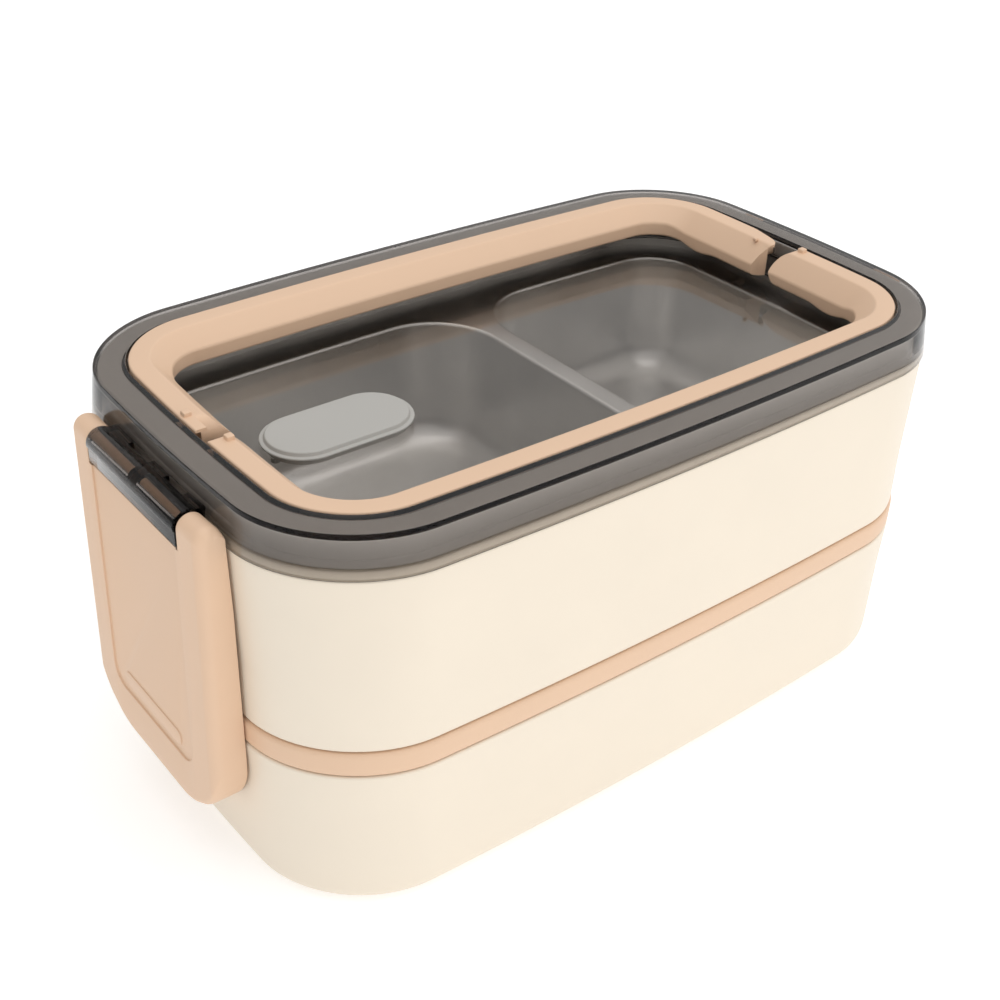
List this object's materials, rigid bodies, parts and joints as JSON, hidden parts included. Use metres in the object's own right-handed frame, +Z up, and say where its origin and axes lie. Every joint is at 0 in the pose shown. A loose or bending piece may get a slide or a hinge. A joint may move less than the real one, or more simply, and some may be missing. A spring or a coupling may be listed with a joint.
{
  "type": "bento lunch box",
  "caption": "Stacked rectangular bento lunch box with a smoke clear lid, folding carry handles, swing clips at the ends, a steam vent and steel liners.",
  "frame": {"origin": "centre of the flat bottom of the lower tier", "axes": "+X along the box between the two clips, +Y towards the rear handle, +Z up"},
  "size_m": [0.2166, 0.122, 0.1028],
  "materials": {
    "cream": "satin moulded polypropylene, warm cream",
    "apricot": "satin moulded polypropylene, apricot",
    "smoke": "polished clear plastic with a smoke grey tint",
    "steel": "drawn stainless steel sheet, satin",
    "seal_silicone": "translucent grey silicone",
    "vent_silicone": "matt grey silicone"
  },
  "bodies": {
    "lower": {"lower_shell": "cream"},
    "lower_liner": {"lower_liner": "steel"},
    "mid": {"mid_lid": "apricot", "mid_seal": "seal_silicone"},
    "upper": {"upper_shell": "cream"},
    "upper_liner": {"upper_liner": "steel"},
    "lid": {"lid_shell": "smoke", "lid_seal": "seal_silicone", "vent_anchor": "vent_silicone"},
    "vent_flap": {"vent_flap": "vent_silicone"},
    "handle_rear": {"handle_rear": "apricot"},
    "handle_front": {"handle_front": "apricot"},
    "clip_left": {"clip_left": "apricot"},
    "clip_right": {"clip_right": "apricot"}
  },
  "joints": [
    {"name": "lower_liner_lift", "type": "slide", "parent": "lower", "child": "lower_liner", "axis": [0, 0, 1], "range_m": [0, 0.06]},
    {"name": "mid_lid_lift", "type": "slide", "parent": "lower_liner", "child": "mid", "axis": [0, 0, 1], "range_m": [0, 0.06]},
    {"name": "upper_tier_lift", "type": "slide", "parent": "mid", "child": "upper", "axis": [0, 0, 1], "range_m": [0, 0.06]},
    {"name": "upper_liner_lift", "type": "slide", "parent": "upper", "child": "upper_liner", "axis": [0, 0, 1], "range_m": [0, 0.06]},
    {"name": "lid_lift", "type": "slide", "parent": "upper_liner", "child": "lid", "axis": [0, 0, 1], "range_m": [0, 0.06]},
    {"name": "handle_rear_fold", "type": "hinge", "parent": "lid", "child": "handle_rear", "pos_m": [0, 0.007, 0.0968], "axis": [1, 0, 0], "range_deg": [0, 90]},
    {"name": "handle_front_fold", "type": "hinge", "parent": "lid", "child": "handle_front", "pos_m": [0, -0.007, 0.0968], "axis": [-1, 0, 0], "range_deg": [0, 90]},
    {"name": "clip_left_swing", "type": "hinge", "parent": "lid", "child": "clip_left", "pos_m": [-0.1047, 0, 0.0937], "axis": [0, 1, 0], "range_deg": [0, 120]},
    {"name": "clip_right_swing", "type": "hinge", "parent": "lid", "child": "clip_right", "pos_m": [0.1047, 0, 0.0937], "axis": [0, -1, 0], "range_deg": [0, 120]},
    {"name": "vent_flap_lift", "type": "hinge", "parent": "lid", "child": "vent_flap", "pos_m": [-0.0702, 0, 0.0912], "axis": [0, -1, 0], "range_deg": [0, 75]}
  ]
}
